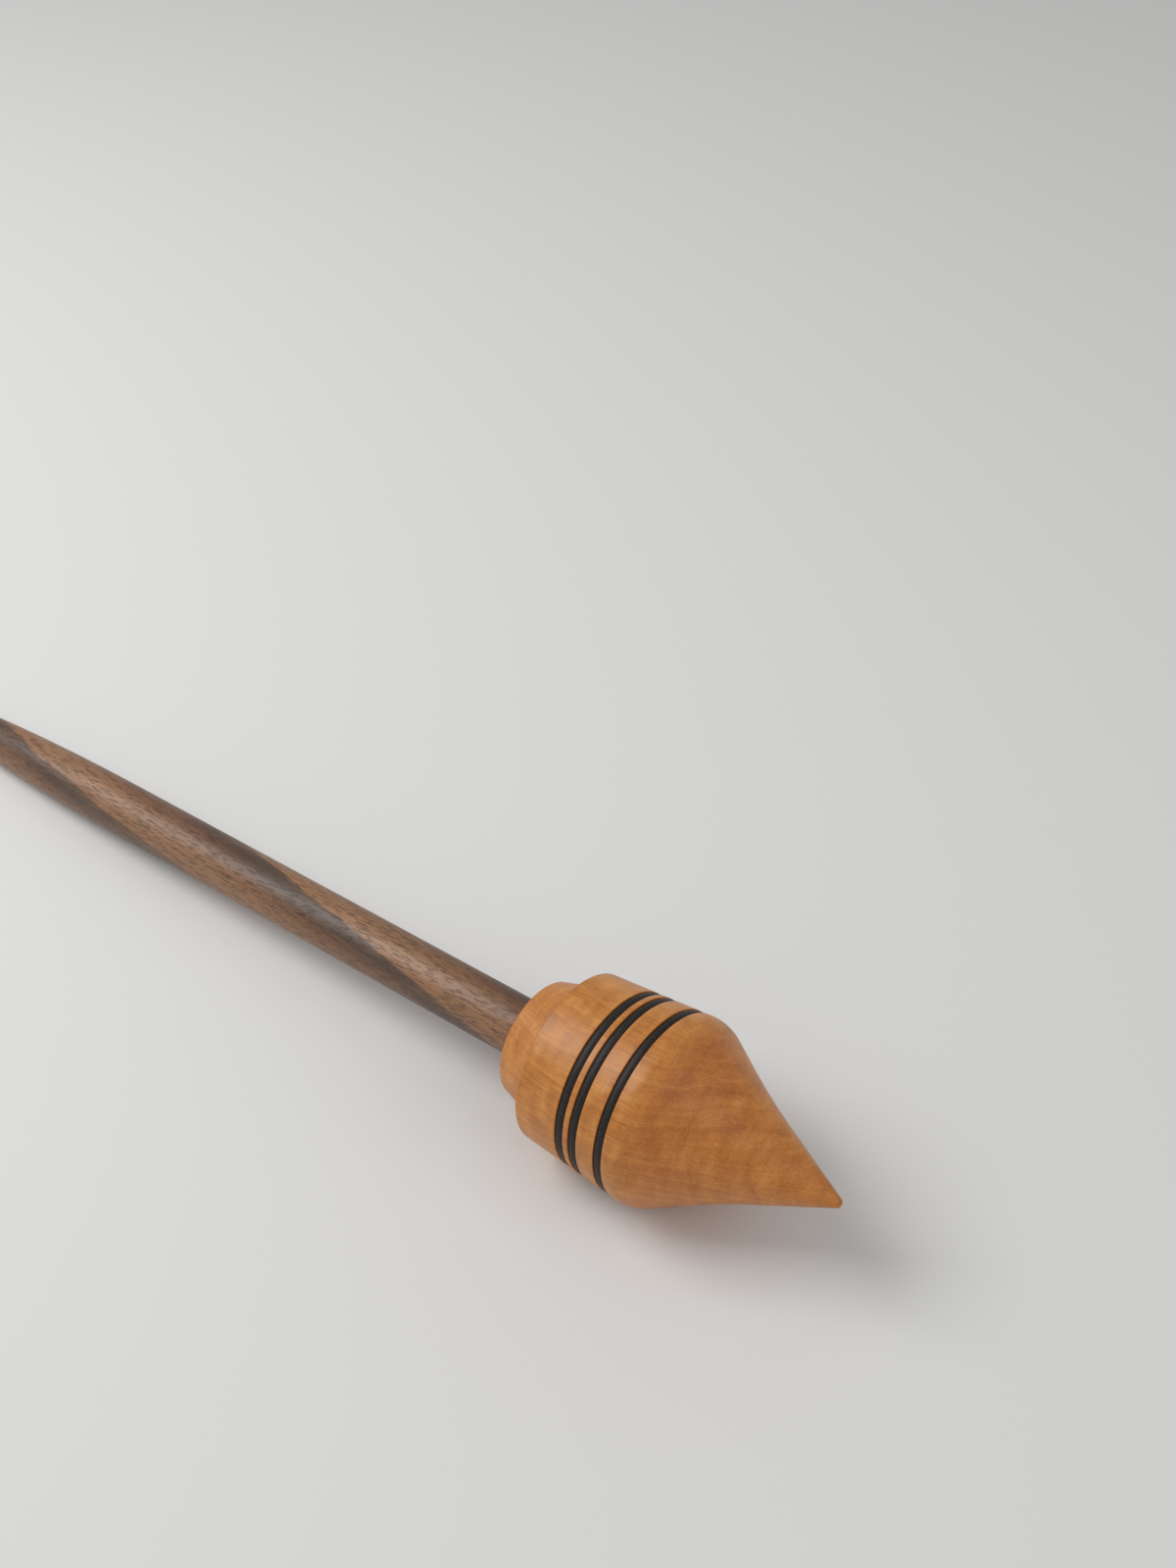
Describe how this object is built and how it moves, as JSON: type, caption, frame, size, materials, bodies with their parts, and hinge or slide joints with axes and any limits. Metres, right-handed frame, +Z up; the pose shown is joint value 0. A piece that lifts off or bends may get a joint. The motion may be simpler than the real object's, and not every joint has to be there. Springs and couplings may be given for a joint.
{
  "type": "support spindle",
  "caption": "Support spindle for hand spinning: a slim tapered walnut shaft glued into a turned maple whorl with a long conical point, a stepped collar and black rings.",
  "frame": {"origin": "middle of the bounding box's lower face, on the flat surface that the spindle lies on", "axes": "+X is the way the point looks along that surface, +Z is up; the spindle's own axis lies in the XZ plane and comes down towards the shaft's upper end (-X) by 4.13 degrees, because it rests on the whorl's shoulder and on the shaft's taper"},
  "size_m": [0.2994, 0.0418, 0.0418],
  "materials": {
    "walnut": "oiled, satin",
    "maple": "oiled and polished, satin",
    "black_ring": "satin"
  },
  "bodies": {
    "root": {"shaft": "walnut", "whorl": "maple", "front_inlay_ring": "black_ring", "middle_inlay_ring": "black_ring", "rear_inlay_ring": "black_ring"}
  },
  "joints": []
}
